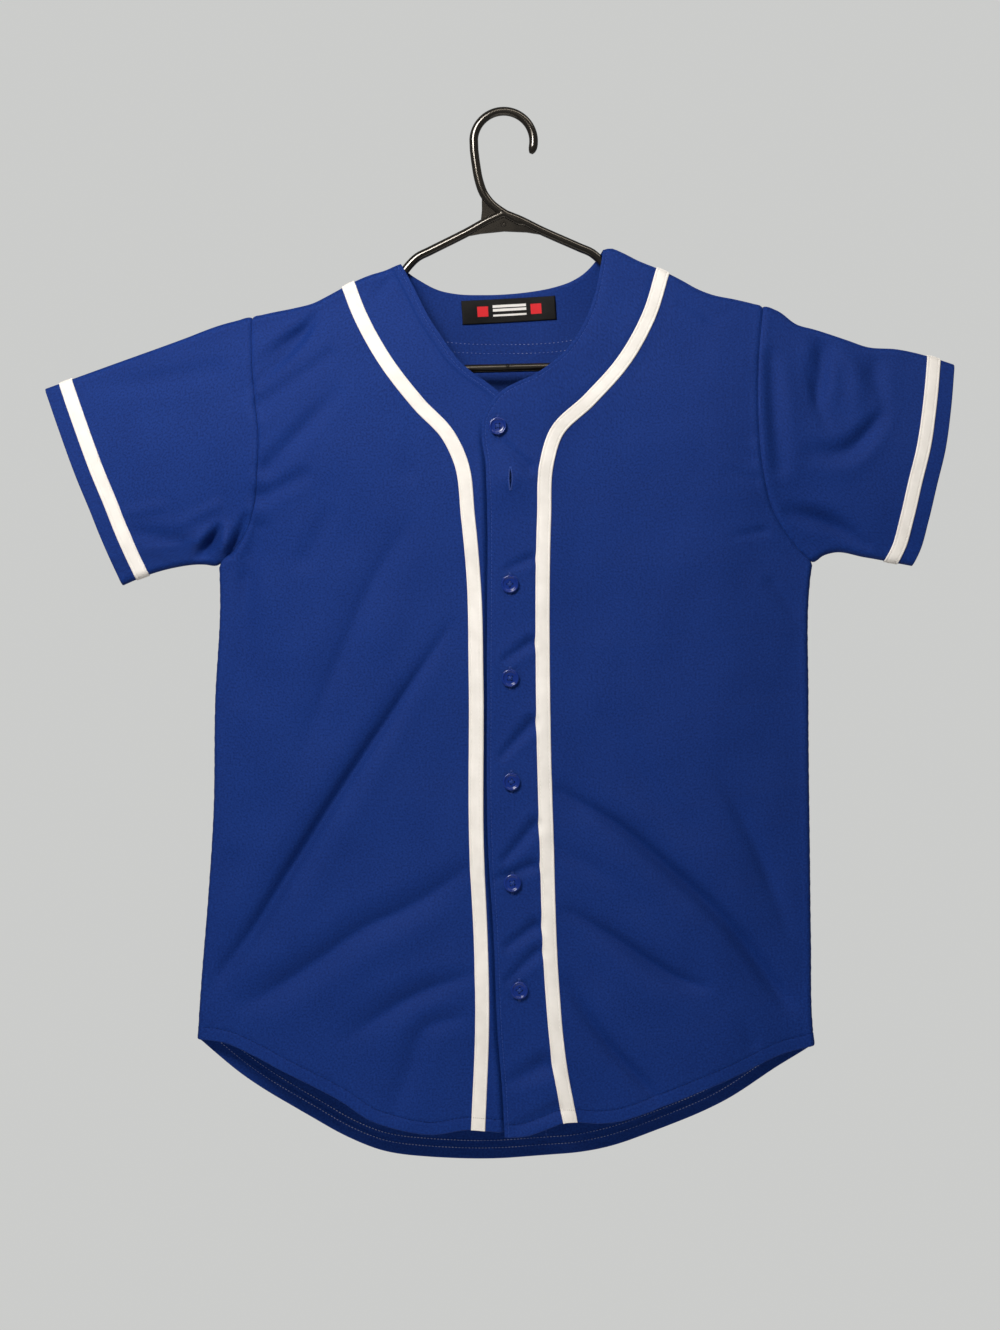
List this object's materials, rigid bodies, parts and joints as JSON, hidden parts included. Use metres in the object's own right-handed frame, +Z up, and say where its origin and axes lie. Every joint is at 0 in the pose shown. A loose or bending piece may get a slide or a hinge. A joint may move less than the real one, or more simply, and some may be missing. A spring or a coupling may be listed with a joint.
{
  "type": "baseball jersey on a tubular hanger",
  "caption": "Short-sleeved buttoned baseball jersey with braid down both fronts and round the sleeves, hung open at neck, hem and cuffs on a tubular hanger.",
  "frame": {"origin": "the hook's seat: the highest point inside the hanger's hook", "axes": "+Z up, +X to the right as seen from the front, the garment's front faces -Y"},
  "size_m": [0.7269, 0.0561, 0.8457],
  "materials": {
    "cloth": "smooth polyester knit with a slight sheen",
    "braid": "ribbed woven braid",
    "buttons": "glossy",
    "label": "woven satin",
    "hanger": "semi-gloss moulded plastic"
  },
  "bodies": {
    "root": {"front_right": "cloth", "front_left": "cloth", "back": "cloth", "sleeve_right": "cloth", "sleeve_left": "cloth", "braid_neck": "braid", "braid_sleeve_right": "braid", "braid_sleeve_left": "braid", "button_1": "buttons", "button_2": "buttons", "button_3": "buttons", "button_4": "buttons", "button_5": "buttons", "button_6": "buttons", "button_7": "buttons", "neck_label": "label", "hanger": "hanger"}
  },
  "joints": []
}
